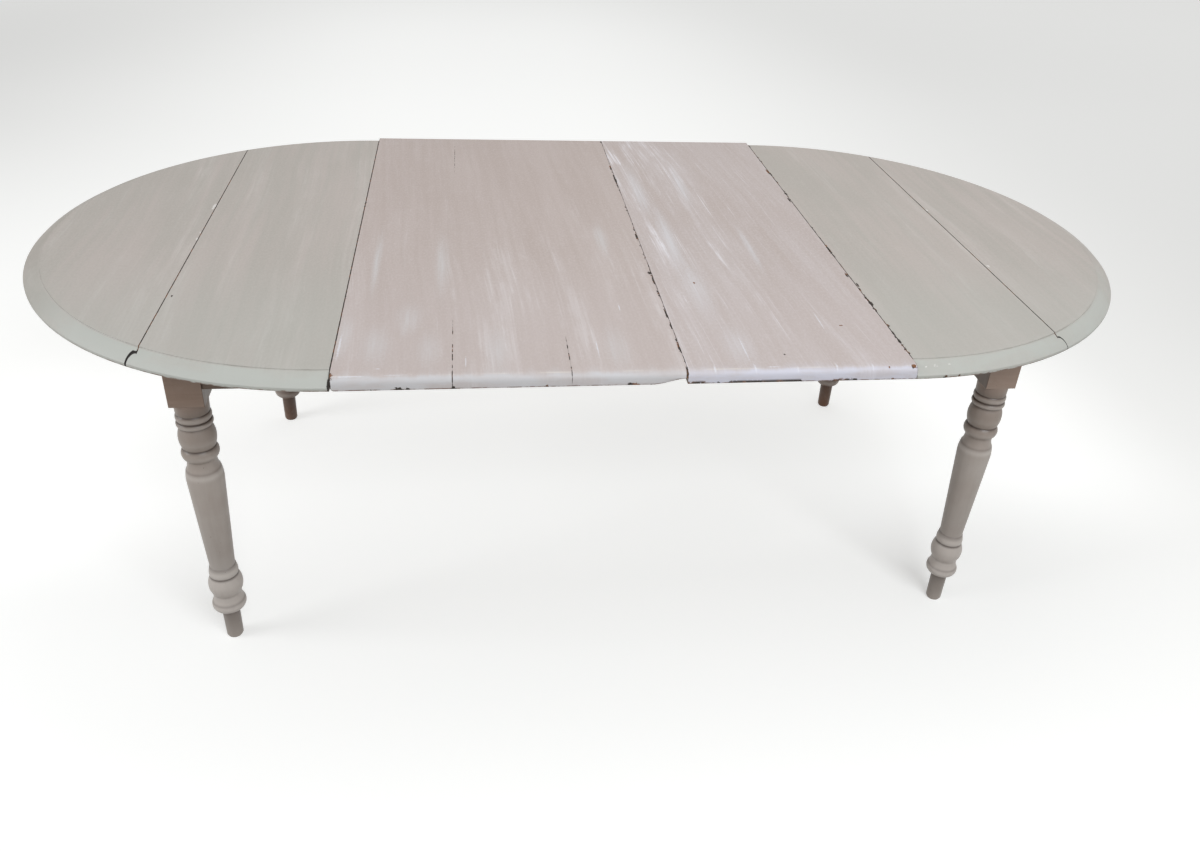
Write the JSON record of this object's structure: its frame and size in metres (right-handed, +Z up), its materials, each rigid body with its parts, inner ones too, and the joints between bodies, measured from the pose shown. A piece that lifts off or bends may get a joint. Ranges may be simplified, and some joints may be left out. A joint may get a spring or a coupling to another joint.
{
  "type": "extending round table",
  "caption": "Round extending dining table on turned legs, opened to an oval with loose leaves, rule-jointed drop leaves and wooden runners.",
  "frame": {"origin": "on the floor under the middle of the opened top", "axes": "+X along the opened table towards the narrow leaf, +Y away from the side that the picture looks from, +Z up"},
  "size_m": [2.3148, 1.3, 0.75],
  "materials": {
    "half_top_paint": "worn satin grey-green paint over wood",
    "wide_leaf_paint": "worn taupe paint with whitish streaks",
    "narrow_leaf_paint": "whitewashed worn paint, chipped at the edge",
    "frame_paint": "satin taupe paint",
    "runner_wood": "bare waxed hardwood",
    "bare_wood": "bare wood, darkened by age",
    "hinge_steel": "dull aged steel"
  },
  "bodies": {
    "slide_core": {"middle_front_runner": "runner_wood", "middle_back_runner": "runner_wood", "middle_left_tie": "runner_wood", "middle_right_tie": "runner_wood"},
    "left_inner_runners": {"left_inner_front_runner": "runner_wood", "left_inner_back_runner": "runner_wood", "left_inner_tie": "runner_wood"},
    "left_half": {"left_half_top": "half_top_paint", "left_end_apron": "frame_paint", "left_glue_blocks": "bare_wood", "left_hinge_half_leaves": "hinge_steel", "left_hinge_pins": "hinge_steel", "left_outer_front_runner": "runner_wood", "left_outer_back_runner": "runner_wood", "left_front_leg": "frame_paint", "left_front_side_apron": "frame_paint", "left_front_loper_guide": "bare_wood", "left_back_leg": "frame_paint", "left_back_side_apron": "frame_paint", "left_back_loper_guide": "bare_wood"},
    "left_flap": {"left_drop_leaf": "half_top_paint", "left_hinge_drop_leaves": "hinge_steel"},
    "left_front_loper": {"left_front_loper": "bare_wood"},
    "left_back_loper": {"left_back_loper": "bare_wood"},
    "right_inner_runners": {"right_inner_front_runner": "runner_wood", "right_inner_back_runner": "runner_wood", "right_inner_tie": "runner_wood"},
    "right_half": {"right_half_top": "half_top_paint", "right_end_apron": "frame_paint", "right_glue_blocks": "bare_wood", "right_hinge_half_leaves": "hinge_steel", "right_hinge_pins": "hinge_steel", "right_outer_front_runner": "runner_wood", "right_outer_back_runner": "runner_wood", "right_front_leg": "frame_paint", "right_front_side_apron": "frame_paint", "right_front_loper_guide": "bare_wood", "right_back_leg": "frame_paint", "right_back_side_apron": "frame_paint", "right_back_loper_guide": "bare_wood"},
    "right_flap": {"right_drop_leaf": "half_top_paint", "right_hinge_drop_leaves": "hinge_steel"},
    "right_front_loper": {"right_front_loper": "bare_wood"},
    "right_back_loper": {"right_back_loper": "bare_wood"},
    "wide_leaf": {"wide_leaf_board_1": "wide_leaf_paint", "wide_leaf_board_2": "wide_leaf_paint", "wide_leaf_board_3": "wide_leaf_paint", "wide_leaf_front_batten": "bare_wood", "wide_leaf_back_batten": "bare_wood"},
    "narrow_leaf": {"narrow_leaf_board_1": "narrow_leaf_paint", "narrow_leaf_board_2": "narrow_leaf_paint", "narrow_leaf_front_batten": "bare_wood", "narrow_leaf_back_batten": "bare_wood"}
  },
  "joints": [
    {"name": "left_inner_slide", "type": "slide", "parent": "slide_core", "child": "left_inner_runners", "axis": [-1, 0, 0], "range_m": [0, 0.03]},
    {"name": "left_half_slide", "type": "slide", "parent": "left_inner_runners", "child": "left_half", "axis": [-1, 0, 0], "range_m": [0, 0.03]},
    {"name": "left_flap_hinge", "type": "hinge", "parent": "left_half", "child": "left_flap", "pos_m": [-0.8299, 0, 0.728], "axis": [0, 1, 0], "range_deg": [-90, 0]},
    {"name": "left_front_loper_slide", "type": "slide", "parent": "left_half", "child": "left_front_loper", "axis": [-1, 0, 0], "range_m": [0, 0.19]},
    {"name": "left_back_loper_slide", "type": "slide", "parent": "left_half", "child": "left_back_loper", "axis": [-1, 0, 0], "range_m": [0, 0.19]},
    {"name": "right_inner_slide", "type": "slide", "parent": "slide_core", "child": "right_inner_runners", "axis": [1, 0, 0], "range_m": [0, 0.03]},
    {"name": "right_half_slide", "type": "slide", "parent": "right_inner_runners", "child": "right_half", "axis": [1, 0, 0], "range_m": [0, 0.03]},
    {"name": "right_flap_hinge", "type": "hinge", "parent": "right_half", "child": "right_flap", "pos_m": [0.8299, 0, 0.728], "axis": [0, -1, 0], "range_deg": [-90, 0]},
    {"name": "right_front_loper_slide", "type": "slide", "parent": "right_half", "child": "right_front_loper", "axis": [1, 0, 0], "range_m": [0, 0.19]},
    {"name": "right_back_loper_slide", "type": "slide", "parent": "right_half", "child": "right_back_loper", "axis": [1, 0, 0], "range_m": [0, 0.19]},
    {"name": "wide_leaf_lift", "type": "slide", "parent": "slide_core", "child": "wide_leaf", "axis": [0, 0, 1], "range_m": [0, 0.25]},
    {"name": "narrow_leaf_lift", "type": "slide", "parent": "slide_core", "child": "narrow_leaf", "axis": [0, 0, 1], "range_m": [0, 0.25]}
  ]
}
